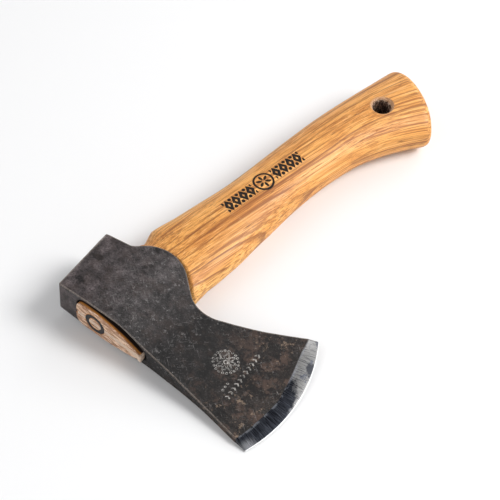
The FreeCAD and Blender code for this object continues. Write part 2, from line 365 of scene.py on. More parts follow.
def half_thickness(x, y):
    """Cheek half thickness, slightly crowned towards the lug's and the poll's lower rim."""
    rim = smoothstep(30, 47, y) * smoothstep(62, 30, x)
    return through(THICKNESS_X, HALF_THICKNESS, x) - RIM_CROWN * rim


def grind_radius(y):
    """Radius of the grind line about the bit's centre: hand ground, so it wanders."""
    return through(GRIND_Y, GRIND_RADIUS, y)


def past_grind(points):
    """Distance of each point beyond the grind line, towards the edge."""
    distance = np.hypot(points[:, 0] - BIT_CENTRE[0], points[:, 1] - BIT_CENTRE[1])
    return distance - grind_radius(points[:, 1])


def warped_shares(length, fine, low, step, fine_step):
    """Shares of a length whose spacing is finer inside a band."""
    samples = np.linspace(0, length, 800)
    place = samples + low
    inside = smoothstep(fine[0] - 4, fine[0], place) * smoothstep(fine[1] + 4, fine[1], place)
    density = 1 / step + inside * (1 / fine_step - 1 / step)
    total = np.r_[0, np.cumsum((density[1:] + density[:-1]) / 2 * np.diff(samples))]
    count = int(round(total[-1]))
    return np.interp(np.linspace(0, total[-1], count + 1), total, samples) / length


def coons(top, bottom, left, right):
    """Grid of points between four border lines; rows run from top to bottom."""
    v, u = run_lengths(left), run_lengths(top)
    v, u = (v / v[-1])[:, None, None], (u / u[-1])[None, :, None]
    ruled_v = (1 - v) * top[None] + v * bottom[None]
    ruled_u = (1 - u) * left[:, None] + u * right[:, None]
    corners = ((1 - u) * (1 - v) * top[0] + u * (1 - v) * top[-1]
               + (1 - u) * v * bottom[0] + u * v * bottom[-1])
    return ruled_v + ruled_u - corners


def cut_at_grind(line):
    """Share of a border line, running towards the bit, at which it meets the grind line."""
    over = past_grind(line)
    index = np.where((over[:-1] < 0) & (over[1:] >= 0) & (line[:-1, 0] > 100))[0][0]
    part = over[index] / (over[index] - over[index + 1])
    lengths = run_lengths(line)
    return (lengths[index] + part * (lengths[index + 1] - lengths[index])) / lengths[-1]


BEVEL_COLUMNS = 20


def head_grid():
    """Outline points on a grid, outward normals along its border, and the grind column."""
    poll, crown, edge, under = head_sides()
    crown_shares = warped_shares(126.5, FINE_X, 0, SHEET_STEP, 0.3)
    under = under[::-1]
    poll = poll[::-1]
    row_shares = warped_shares(75.5, FINE_Y, -13.4, SHEET_STEP, 0.34)
    crown_cut, under_cut = cut_at_grind(crown), cut_at_grind(under)
    bevel_shares = np.linspace(0, 1, BEVEL_COLUMNS + 1)[1:]
    crown_all = np.r_[crown_shares * crown_cut, crown_cut + (1 - crown_cut) * bevel_shares]
    # The underside is longer than the crown, so its columns follow the same X.
    under_xs = resample(under, np.linspace(0, 1, 2000))[:, 0]
    reach = resample(under, [under_cut])[0, 0]
    wanted = crown_shares * reach
    under_shares = np.interp(wanted, np.maximum.accumulate(under_xs), np.linspace(0, 1, 2000))
    under_shares[0], under_shares[-1] = 0, under_cut
    under_all = np.r_[under_shares, under_cut + (1 - under_cut) * bevel_shares]
    top, bottom = resample(crown, crown_all), resample(under, under_all)
    left, right = resample(poll, row_shares), resample(edge, row_shares)
    return top, bottom, left, right, len(crown_shares) - 1


def border_inset(line, normals):
    """The border moved in by the width of its rounded arris, and that width."""
    half = half_thickness(line[:, 0], line[:, 1])
    ground = np.clip(past_grind(line) / (BIT_RADIUS - grind_radius(line[:, 1])), 0, 1)
    half = half * (1 - ground) + EDGE_HALF * ground
    arris = np.minimum(ARRIS, ARRIS_SHARE * half)
    return line - normals * arris[:, None], arris


def bevel_profile(share, grind_half):
    """Half thickness across the bevel: slightly convex, with a fine honed strip at the edge."""
    hone_start, hone_half = 0.95, 0.20
    main = grind_half + (hone_half - grind_half) * share / hone_start + 0.1 * np.sin(np.pi * share)
    fine = hone_half + (EDGE_HALF - hone_half) * (share - hone_start) / (1 - hone_start)
    return np.where(share < hone_start, main, fine)


PETALS, DOTS, DARTS = 8, 20, 11


def ring_cell(angle, count, shift=0.0):
    """Place, -0.5 to 0.5, within each of count equal parts of a turn."""
    return (angle / (2 * np.pi) * count + shift) % 1 - 0.5


def petal_marks(x, y):
    """Depth, 0 to 1, of the punched flower: eight petals round a dot inside a ring of dots."""
    dx, dy = x - SEAL[0], y - SEAL[1]
    distance, angle = np.hypot(dx, dy), np.arctan2(dy, dx)
    depth = smoothstep(1.15, 0.65, distance)
    across = np.abs(ring_cell(angle, PETALS)) * 2 * np.pi / PETALS * distance
    along = np.abs(distance - 3.3)
    outline = np.abs(np.hypot(across / 0.92, along / 1.75) - 1)
    depth = np.maximum(depth, smoothstep(0.34, 0.12, outline))
    dots = np.hypot(ring_cell(angle, DOTS, 0.25) * 2 * np.pi / DOTS * distance, distance - 6.55)
    return np.maximum(depth, smoothstep(0.72, 0.42, dots))


def row_marks(x, y):
    """Depth of a row of small punched darts along the blade, with three dots beside it."""
    start, end = np.array([107.0, 3.8]), np.array([104.3, 35.7])
    length = np.hypot(*(end - start))
    direction = (end - start) / length
    along = (x - start[0]) * direction[0] + (y - start[1]) * direction[1]
    across = (x - start[0]) * -direction[1] + (y - start[1]) * direction[0]
    pitch = length / DARTS
    cell = (along / pitch) % 1 - 0.5
    inside = (along > 0) & (along < length)
    dart = np.abs(np.abs(across) * 0.9 + (cell * pitch) * 1.1 - 0.2) - 0.05
    depth = smoothstep(0.42, 0.16, dart) * (np.abs(across) < 1.25) * inside
    for offset in (0.0, 2.3, 4.6):
        dot = np.hypot(along - 3.0 - offset, np.abs(across) - 4.2)
        depth = np.maximum(depth, smoothstep(0.7, 0.4, dot) * (across > 0))
    return depth


def forged_relief(points):
    """Hammered, scaled and pitted surface: displacement in millimetres along the normal."""
    relief = 0.10 * noise(points, 17, 1) + 0.05 * noise(points, 6.5, 2) + 0.022 * noise(points, 2.2, 3)
    relief += 0.012 * noise(points, 0.9, 4)
    pits = noise(points, 1.7, 5) * 0.7 + noise(points, 0.8, 6) * 0.5
    patches = smoothstep(-0.15, 0.35, noise(points, 14, 7))
    return relief - 0.12 - 0.09 * smoothstep(0.50, 0.85, pits) * (0.35 + 0.65 * patches)


def inner_border(columns, rows, inner):
    """The four sides of the inset border, as the grid's top, right, bottom and left."""
    corner = columns + rows - 2
    return (inner[:columns], inner[columns - 1:corner + 1], inner[corner:corner + columns][::-1],
            np.vstack([inner[corner + columns - 1:], inner[:1]])[::-1])


def grind_line(start, end, shares):
    """The grind line between the border points where it starts and ends."""
    ys = start[1] + (end[1] - start[1]) * shares
    reach = np.maximum(grind_radius(ys) ** 2 - (ys - BIT_CENTRE[1]) ** 2, 0)
    line = np.stack([BIT_CENTRE[0] + np.sqrt(reach), ys], 1)
    first, last = start - line[0], end - line[-1]
    return line + first * (1 - shares)[:, None] ** 4 + last * shares[:, None] ** 4


def cheek_sheet(columns, rows, grind, inner):
    """Grid points of one cheek with its bevel, their half thickness and place across the bevel."""
    top, right, bottom, left = inner_border(columns, rows, inner)
    shares = run_lengths(right)
    grind_side = grind_line(top[grind], bottom[grind], shares / shares[-1])
    main = coons(top[:grind + 1], bottom[:grind + 1], left, grind_side)
    bevel = coons(top[grind:], bottom[grind:], grind_side, right)
    flat = np.concatenate([main, bevel[:, 1:]], 1)
    half = half_thickness(flat[:, :, 0], flat[:, :, 1])
    share = np.zeros(columns)
    share[grind:] = np.linspace(0, 1, columns - grind)
    half[:, grind:] = bevel_profile(share[None, grind:], half[:, grind:grind + 1])
    return flat.reshape(-1, 2), half.ravel(), share


def rim_rings(inner, normals, arris, rim_half):
    """Rings round the rim from one cheek to the other: rounded arris, flat wall, arris."""
    rings = []
    for angle in (70, 50, 30, 10):
        out = arris * math.cos(math.radians(angle))
        drop = arris * (1 - math.sin(math.radians(angle)))
        rings.append(np.column_stack([inner + normals * out[:, None], rim_half - drop]))
    for share in np.arange(WALL_ROWS + 1) / WALL_ROWS:
        height = (rim_half - arris) * (1 - 2 * share)
        rings.append(np.column_stack([inner + normals * arris[:, None], height]))
    return rings + [ring * np.array([1, 1, -1]) for ring in rings[ARRIS_ROWS - 1::-1]]


def head_faces(index, loop, rings):
    """Faces of both cheeks and of the rim between them."""
    count, size = index.size, len(loop)
    quads = grid_faces(index)
    faces = quads.tolist() + (quads[:, ::-1] + count).tolist()
    rim = [2 * count + size * ring + np.arange(size) for ring in range(rings)]
    ladder = [loop] + rim + [loop + count]
    for first, second in zip(ladder[:-1], ladder[1:]):
        faces += between(first, second)
    return faces


def rubbed(rim_distance, rings, size):
    """Wear, 0 to 1, which also carries a painted edge highlight: full on the rounded arrises, fading
    over the cheeks.
    """
    wall = np.full((rings, size), 0.35)
    wall[:ARRIS_ROWS] = wall[-ARRIS_ROWS:] = 1
    return np.r_[smoothstep(1.0, 0.35, rim_distance), wall.ravel()]


def build_head():
    top, bottom, left, right, grind = head_grid()
    rows, columns = len(left), len(top)
    border = np.concatenate([top, right[1:], bottom[::-1][1:], left[::-1][1:-1]])
    normals = -outward(border, closed=True)
    if np.sum((border - border.mean(0)) * normals) < 0:
        normals = -normals
    inner, arris = border_inset(border, normals)
    flat, half, share = cheek_sheet(columns, rows, grind, inner)

    index = np.arange(rows * columns).reshape(rows, columns)
    loop = np.concatenate([index[0], index[1:, -1], index[-1, ::-1][1:], index[::-1, 0][1:-1]])
    rings = rim_rings(inner, normals, np.minimum(arris, ARRIS_SHARE * half[loop]), half[loop])
    points = np.concatenate([np.column_stack([flat, half]), np.column_stack([flat, -half])] + rings)
    faces = head_faces(index, loop, len(rings))
    cheeks = 2 * index.size

    over = past_grind(points)
    ground = np.r_[np.tile((np.arange(columns) >= grind) * 1.0, 2 * rows),
                   smoothstep(-0.15, 0.15, over[cheeks:])]
    across = np.r_[np.tile(share, 2 * rows), np.clip(over[cheeks:] / (BIT_RADIUS - 79), 0, 1)]
    rim_distance = rim_gap(points[:cheeks, :2], border)
    # The wear on the arrises also serves as a painted edge highlight.
    wear = rubbed(rim_distance, len(rings), len(loop))

    relief = forged_relief(points) * (1 - ground) + 0.006 * noise(points, (4, 0.7, 4), 8) * ground
    rim_distance = np.r_[rim_distance, np.full(len(points) - cheeks, 2.0)]
    relief *= 0.35 + 0.65 * smoothstep(0.2, 2.5, rim_distance)
    marks = np.maximum(petal_marks(points[:, 0], points[:, 1]), row_marks(points[:, 0], points[:, 1]))
    marks[points[:, 2] < 0.5] = 0
    marks[cheeks:] = 0
    punched = marks * (0.72 + 0.28 * noise(points, 3.1, 9))
    relief -= PUNCH_DEPTH * punched
    points = points + point_normals(points, faces) * relief[:, None]
    piece = make_piece("head_forging", points, faces, "forged_steel", "axe_head", SHARP,
                       ground=ground, across=across, wear=wear, punched=punched)
    mark_sharp_line(piece.data, [index[:, grind], index[:, grind] + index.size])
    cut_away(piece, *eye_cutter(), SHARP)
    return piece


def mark_sharp_line(mesh, lines):
    """Keep a crisp line where the bevel meets the cheek."""
    crisp = {tuple(sorted(pair)) for line in lines
             for pair in zip(line[:-1].tolist(), line[1:].tolist())}
    layer = mesh.attributes.get("sharp_edge") or mesh.attributes.new("sharp_edge", "BOOLEAN", "EDGE")
    for edge in mesh.edges:
        if tuple(sorted(edge.vertices)) in crisp:
            layer.data[edge.index].value = True


def rim_gap(points, border):
    """Distance from each point to the outline."""
    gap = np.full(len(points), 1e9)
    for start in range(0, len(points), 4000):
        part = points[start:start + 4000]
        away = part[:, None] - border[None]
        gap[start:start + 4000] = np.sqrt((away ** 2).sum(2).min(1))
    return gap


def point_normals(points, faces):
    quads = np.array(faces)
    first = points[quads[:, 2]] - points[quads[:, 0]]
    second = points[quads[:, 3]] - points[quads[:, 1]]
    across = np.cross(first, second)
    total = np.zeros_like(points)
    for column in range(4):
        np.add.at(total, quads[:, column], across)
    total /= np.maximum(np.linalg.norm(total, axis=1), 1e-12)[:, None]
    probe = np.argmax(points[:, 2])
    return total if total[probe, 2] > 0 else -total


EYE_MOUTH = (12.6, 4.4, 17.7, 9.9, 57.7, 2.8)
EYE_BORE = (13.2, 3.9, 18, 9.2, 56.7, 2.2)
TONGUE = (12.9, 3.9, 18, 9.15, 56.8, 2.1)
TONGUE_MIDDLE, TONGUE_HALF = 34.85, np.array([21.65, 9.1])
EYE_RADII = (5, 65, 3)
MOUTH_FLARE = 1.5


def eye_outline(sizes, spacing=0.6):
    """Closed section of the eye or the tongue, as (x, z)."""
    poll, flat, shoulder, half, bit, tip = sizes
    corner, side, end = EYE_RADII
    return np.concatenate([
        arc((poll, flat), (shoulder, half), corner, 1, spacing),
        arc((shoulder, half), (bit, tip), side, 1, spacing),
        arc((bit, tip), (bit, -tip), end, 1, spacing),
        arc((bit, -tip), (shoulder, -half), side, 1, spacing),
        arc((shoulder, -half), (poll, -flat), corner, 1, spacing),
        straight((poll, -flat), (poll, flat), spacing)])


def crown_height(x):
    line = crown_line()
    return np.interp(x, line[:, 0], line[:, 1])


def eye_cutter():
    """The eye's hollow, slightly flared and rounded at its mouth."""
    mouth = eye_outline(EYE_MOUTH)
    bore = eye_outline(EYE_BORE)
    shares = np.linspace(0, 1, len(mouth))
    bore = np.stack([np.interp(shares, np.linspace(0, 1, len(bore)), column) for column in bore.T], 1)

    def section_ring(section, heights):
        return np.column_stack([section[:, 0], heights + np.zeros(len(section)), section[:, 1]])

    normals = outward(mouth, closed=True)
    mouth[:, 1] += MOUTH_FLARE * smoothstep(24, 50, mouth[:, 0]) * smoothstep(0.5, 4.0, mouth[:, 1])
    rings = []
    for depth, flare in ((-4, 1.1), (-0.5, 1.0), (-0.1, 0.55), (0.15, 0.3), (0.5, 0.12), (1.0, 0.02),
                         (2, 0)):
        section = mouth + normals * flare
        rings.append(section_ring(section, crown_height(section[:, 0]) + depth))
    for depth, share in ((11.5, 0), (12.5, 1), (75, 1)):
        rings.append(section_ring(mouth * (1 - share) + bore * share, depth))
    return capped_rings(rings)


# ---------------------------------------------------------------- the handle

SECTIONS = np.array([
    (52, 36.1, 22.5, 10.8), (62, 36.7, 23.3, 11.8), (77, 39.1, 22.2, 12.7), (92, 41.1, 20.5, 13.2),
    (107, 43.3, 19.0, 13.4), (124, 45.1, 17.9, 13.4), (143, 47.3, 17.6, 13.3), (163, 50.5, 18.1, 13.4),
    (179, 54.0, 19.2, 13.7), (193, 58.6, 21.2, 14.1), (207, 64.5, 24.0, 14.7), (222, 72.2, 28.3, 15.0),
    (240, 81.8, 33.7, 15.0), (254, 89.1, 37.4, 14.8), (275, 100.1, 42.9, 14.4)], float)
ROUND = 192
OVAL = 2.12
SHOULDER_RISE = 0.7
SHOULDER_Y, SHOULDER_PEAK, SHOULDER_CUT = 60.8, 0.9, 1.9
UNDER = under_line()[::-1]
BUTT_POLL, BUTT_BIT, BUTT_RADIUS = np.array([43.2, 245.9]), np.array([98.8, 211.9]), 78.0
FLARE_Y, BUTT_RIM = 196.0, 3.4
FACE_RISE, FACE_SLANT = 1.1, math.tan(math.radians(2.6))
TONGUE_LEAN, KERF_LEAN = 0.32, 0.3
WEDGE = (13.6, 3.8, 18, 9.1, 57.2, 2.1)
WEDGE_X, WEDGE_TOP_HALF, WEDGE_FOOT_HALF = (13.9, 56.4), 1.7, 0.4
RING_X, RING_RADIUS, RING_BORE, RING_FOOT, RING_DEPTH = 26.0, 6.6, 4.15, 5.2, 13.0


def polar_radius(outline, centre, half_sizes, angles):
    """Radius of a closed outline in normalised polar form."""
    spread = (outline - centre) / half_sizes
    spread[:, 0] *= -1
    around = np.arctan2(spread[:, 1], spread[:, 0])
    order = np.argsort(around)
    around, radii = around[order], np.hypot(*spread.T)[order]
    around = np.r_[around - 2 * np.pi, around, around + 2 * np.pi]
    return np.interp(angles, around, np.tile(radii, 3))


ANGLES = np.linspace(-np.pi, np.pi, ROUND, endpoint=False)
COS, SIN = np.cos(ANGLES), np.sin(ANGLES)
OVAL_RADIUS = (np.abs(COS) ** OVAL + np.abs(SIN) ** OVAL) ** (-1 / OVAL)
TONGUE_RADIUS = polar_radius(eye_outline(TONGUE, 0.2), (TONGUE_MIDDLE, 0), TONGUE_HALF, ANGLES)


def section_sizes(y):
    return [through(SECTIONS[:, 0], SECTIONS[:, column], y) for column in (1, 2, 3)]


def shaft_ring(y):
    """Section of the handle at one height y (a number or one per angle)."""
    y = np.broadcast_to(np.asarray(y, float), ANGLES.shape)
    centre, width, thickness = section_sizes(np.maximum(y, SECTIONS[0, 0]))
    mouth_of_lug = np.interp(TONGUE_MIDDLE - TONGUE_HALF[0] * COS, UNDER[:, 0], UNDER[:, 1])
    facing_poll = smoothstep(0.25, 0.95, COS)
    blend = smoothstep(-0.3, SHOULDER_RISE + 5 * facing_poll, y - mouth_of_lug)
    radius = TONGUE_RADIUS * (1 - blend) + OVAL_RADIUS * blend
    x = (TONGUE_MIDDLE * (1 - blend) + centre * blend
         - (TONGUE_HALF[0] * (1 - blend) + width * blend) * radius * COS)
    z = (TONGUE_HALF[1] * (1 - blend) + thickness * blend) * radius * SIN
    away = np.abs(y - SHOULDER_Y) / np.where(y < SHOULDER_Y, 7.5, 13)
    x -= SHOULDER_PEAK * facing_poll * np.maximum(0, 1 - away) ** 1.15
    x += SHOULDER_CUT * facing_poll * np.clip((SHOULDER_Y - y) / 17, 0, 1) * smoothstep(41.5, 45, y)
    return np.column_stack([x, y, z])


def butt_centre():
    """Centre of the ball that the domed end of the knob is part of."""
    half = np.hypot(*(BUTT_BIT - BUTT_POLL)) / 2
    along = (BUTT_BIT - BUTT_POLL) / (2 * half)
    normal = np.array([-along[1], along[0]])
    centre = (BUTT_POLL + BUTT_BIT) / 2 - normal * math.sqrt(BUTT_RADIUS ** 2 - half ** 2)
    return np.array([*centre, 0])


BUTT_CENTRE = butt_centre()


def butt_gap(points):
    """Signed distance to the domed end of the knob."""
    return np.linalg.norm(points - BUTT_CENTRE, axis=1) - BUTT_RADIUS


def on_butt(points):
    spread = points - BUTT_CENTRE
    return BUTT_CENTRE + spread / np.linalg.norm(spread, axis=1)[:, None] * BUTT_RADIUS


def side_end():
    """Height at which each line along the handle meets the domed end."""
    low, high = np.full(ROUND, 190.0), np.full(ROUND, 274.0)
    for _ in range(40):
        middle = (low + high) / 2
        inside = butt_gap(shaft_ring(middle)) < 0
        low, high = np.where(inside, middle, low), np.where(inside, high, middle)
    return (low + high) / 2


def butt_rings():
    """Rings from the flare of the knob round its rim to the middle of its end."""
    end = side_end()
    corner = shaft_ring(end)
    before = end - BUTT_RIM * 1.15
    rings = [shaft_ring(FLARE_Y + (before - FLARE_Y) * share) for share in np.linspace(0, 1, 56)[1:]]
    middle = on_butt(corner.mean(0)[None])[0]
    inward = middle - corner
    inward /= np.linalg.norm(inward, axis=1)[:, None]
    landing = on_butt(corner + inward * BUTT_RIM)
    rings += quadratic(rings[-1], corner, landing, np.linspace(0, 1, 10)[1:])
    for share in np.linspace(0, 1, 30)[1:-1]:
        rings.append(on_butt(landing + (middle - landing) * share))
    return rings, middle


def face_height(x):
    """The tongue's end: sawn off, standing proud, rising towards the bit."""
    return -FACE_RISE - x * FACE_SLANT


def tongue_rings():
    """Rings over the tongue's end, from its middle out and down into the eye."""
    outline = shaft_ring(0.0)
    centre = np.array([TONGUE_MIDDLE, 0, 0])
    insets = [(share, 0.0) for share in np.linspace(0, 1, 20)[1:-1]]
    rings = []
    for inset, drop in insets + [(0.985, 0.0), (0.995, 0.08), (1.0, 0.3)]:
        ring = centre + (outline - centre) * inset
        ring[:, 1] = drop + face_height(ring[:, 0])
        rings.append(ring)
    return rings, centre + np.array([0, face_height(TONGUE_MIDDLE), 0])


def build_handle():
    face_rings, face_middle = tongue_rings()
    top, last = shaft_ring(0.0), face_rings[-1][:, 1]
    sides = [np.column_stack([top[:, 0], last + (6 - last) * share, top[:, 2]])
             for share in (0.08, 0.16, 0.26, 0.38, 0.5, 0.62, 0.75, 0.88)]
    heights = np.r_[np.arange(6, 40, 2.5), np.arange(40, FLARE_Y + 0.5, 0.8)]
    sides += [shaft_ring(height) for height in heights]
    end_rings, end_middle = butt_rings()
    rings = face_rings + sides + end_rings
    count = len(rings)
    points = np.concatenate(rings + [face_middle[None], end_middle[None]])
    faces = ring_faces(count, ROUND)
    around = np.arange(ROUND)
    faces += between(around, count * ROUND)
    faces += between((count - 1) * ROUND + around, count * ROUND + 1)
    points = lean_tongue(points)
    spread = points - np.array([50, 0, 0])
    spread[:, 1] = 0
    spread /= np.maximum(np.linalg.norm(spread, axis=1), 1e-6)[:, None]
    shaved = smoothstep(48, 70, points[:, 1]) * smoothstep(252, 200, points[:, 1])
    relief = (0.10 * noise(points, (16, 60, 16), 21) + 0.03 * noise(points, (3, 40, 3), 22)) * shaved
    points = points + spread * relief[:, None]
    sawn = np.zeros(len(points))
    sawn[:len(face_rings) * ROUND] = 1
    sawn[count * ROUND] = 1
    relief = 0.05 * noise(points, (1.1, 4, 3.0), 23) + 0.04 * noise(points, 0.9, 24)
    points[:, 1] += relief * sawn
    butt = smoothstep(0.6, 0.05, np.abs(butt_gap(points)))
    piece = make_piece("handle_stick", points, faces, "hickory", "handle", SHARP_WOOD,
                       sawn=sawn, butt=butt)
    for cutter in (hole_cutter(), kerf_cutter(), slot_cutter()):
        cut_away(piece, *cutter, SHARP_WOOD)
    return piece


def tongue_lean(y):
    """Share of its lean that the tongue has at each height."""
    return smoothstep(11, 2, y)


def lean_tongue(points):
    """The tongue sits a little to the lower side of the eye's mouth, and thins towards the bit."""
    lean = tongue_lean(points[:, 1])
    moved = points.copy()
    moved[:, 2] -= lean * TONGUE_LEAN
    moved[:, 2] -= lean * 0.5 * smoothstep(20, 44, points[:, 0]) * smoothstep(1.9, 3.4, points[:, 2])
    under = smoothstep(14, 26, points[:, 0]) * smoothstep(55, 40, points[:, 0])
    moved[:, 2] += lean * 1.1 * under * smoothstep(-2.5, -6, points[:, 2])
    return moved


def hole_cutter():
    """Drilled hole with a soft countersink at both sides."""
    _, _, thickness = section_sizes(HOLE[1])
    steps = ((-0.4, 7.55), (0.2, 6.85), (1.0, 6.1), (2.2, 5.35), (3.4, HOLE_RADIUS))
    profile = [(-18.2, 10.5)] + [(step - thickness, radius) for step, radius in steps]
    profile += [(-z, radius) for z, radius in profile[::-1]]
    around = np.linspace(0, 2 * np.pi, 96, endpoint=False)
    rings = [np.column_stack([HOLE[0] + radius * np.cos(around), HOLE[1] + radius * np.sin(around),
                              np.full(96, float(z))]) for z, radius in profile]
    return capped_rings(rings)


def kerf_half(y, play=0.0):
    return WEDGE_TOP_HALF + (WEDGE_FOOT_HALF - WEDGE_TOP_HALF) * (y + 14) / 48 + play


def kerf_cutter():
    """Saw kerf that the wooden wedge opened, running the length of the tongue."""
    rings = []
    for y in (-8.0, 33.8):
        half = kerf_half(y, 0.03)
        low, high = -half - KERF_LEAN, half - KERF_LEAN
        rings.append(np.array([(4, y, low), (64, y, low), (64, y, high), (4, y, high)]))
    return capped_rings(rings)


def ring_form(play, lift, depth):
    """Tapered ring, square to the tongue's end; play widens it for the slot it sits in."""
    around = np.linspace(0, 2 * np.pi, 128, endpoint=False)
    lean = math.atan(FACE_SLANT)
    profile = [(RING_BORE - play, depth), (RING_BORE - play, 0.35 - lift),
               (RING_BORE + 0.12 - play, 0.1 - lift), (RING_BORE + 0.35, -lift),
               (RING_RADIUS - 0.4, -lift), (RING_RADIUS - 0.12 + play, 0.1 - lift),
               (RING_RADIUS + play, 0.35 - lift),
               (RING_RADIUS + (RING_FOOT - RING_RADIUS) * depth / RING_DEPTH + play, depth)]
    if play:
        profile = [(RING_BORE - play, depth), (RING_BORE - play, -4), (RING_RADIUS + play, -4),
                   (RING_RADIUS + play, 0), profile[-1]]
    rings = []
    for radius, down in profile:
        across, thick = radius * np.cos(around), radius * np.sin(around)
        x = RING_X + across * math.cos(lean) - down * math.sin(lean)
        y = face_height(RING_X) - across * math.sin(lean) + down * math.cos(lean)
        rings.append(np.column_stack([x, y, thick - TONGUE_LEAN * tongue_lean(y)]))
    index = np.arange(len(around))
    faces = ring_faces(len(rings), len(around)) + between((len(rings) - 1) * len(around) + index, index)
    return np.concatenate(rings), faces


def slot_cutter():
    """The slot that the ring has bitten into the tongue and the wooden wedge."""
    return ring_form(0.09, 0.0, RING_DEPTH + 0.2)


def build_ring():
    points, faces = ring_form(0.0, 0.12, RING_DEPTH)
    return make_piece("ring_wedge_steel", points, faces, "ring_steel", "ring_wedge", SHARP_RING)


def build_wood_wedge():
    """Wooden wedge driven into the kerf; its rough end stands a little proud at the tip."""
    outline = eye_outline(WEDGE, 0.3)
    upper = outline[outline[:, 1] >= 0]
    upper = upper[np.argsort(upper[:, 0])]
    lengths = np.linspace(*WEDGE_X, 120)
    limit = np.interp(lengths, upper[:, 0], upper[:, 1])
    rows = np.r_[0.0, 0.12, 0.35, 0.8, 1.6, 3, 5, np.arange(8, 35, 3)]
    across = np.linspace(-1, 1, 9)
    grid = []
    for depth in rows:
        for share in across:
            y = face_height(lengths) + depth
            tip = smoothstep(50, WEDGE_X[1], lengths) * smoothstep(6, 2, depth)
            splinter = 0.9 * smoothstep(53.0, 55.4, lengths) * (depth < 0.3)
            half = np.minimum(kerf_half(y), limit - 0.15) + 0.7 * tip
            soft = 1 - 0.06 * (depth < 0.05)
            z = half * share * soft - TONGUE_LEAN * tongue_lean(y)
            grid.append(np.column_stack([lengths + 1.8 * tip, y - 0.05 - splinter, z]))
    grid = np.array(grid).reshape(len(rows), len(across), len(lengths), 3)
    points = grid.reshape(-1, 3)
    index = np.arange(len(points)).reshape(len(rows), len(across), len(lengths))
    sides = (index[0], index[-1], index[:, 0], index[:, -1], index[:, :, 0], index[:, :, -1])
    used, faces = np.unique(np.concatenate([grid_faces(side) for side in sides]), return_inverse=True)
    points, faces = points[used], faces.reshape(-1, 4).tolist()
    top = smoothstep(0.4, 0.0, points[:, 1] - face_height(points[:, 0]))
    points[:, 1] += (0.05 * noise(points, 1.0, 31) + 0.05 * noise(points, (0.5, 3, 0.5), 32)) * top
    piece = make_piece("kerf_wedge", points, faces, "wedge_wood", "wood_wedge", SHARP, sawn=top)
    cut_away(piece, *slot_cutter(), SHARP)
    return piece


# ---------------------------------------------------------------- materials

def arithmetic(operation, swapped=False):
    """Operator of a Value that adds one math node."""
    def apply(value, other):
        return value.shader.math(operation, *((other, value) if swapped else (value, other)))
    return apply


class Value:
    """Output of a shader node, on which plain arithmetic works."""

    def __init__(self, shader, socket):
        self.shader, self.socket = shader, socket

    __add__, __radd__ = arithmetic("ADD"), arithmetic("ADD", True)
    __sub__, __rsub__ = arithmetic("SUBTRACT"), arithmetic("SUBTRACT", True)
    __mul__, __rmul__ = arithmetic("MULTIPLY"), arithmetic("MULTIPLY", True)
    __truediv__, __rtruediv__ = arithmetic("DIVIDE"), arithmetic("DIVIDE", True)
    __pow__ = arithmetic("POWER")

    def __abs__(self):
        return self.shader.math("ABSOLUTE", self)


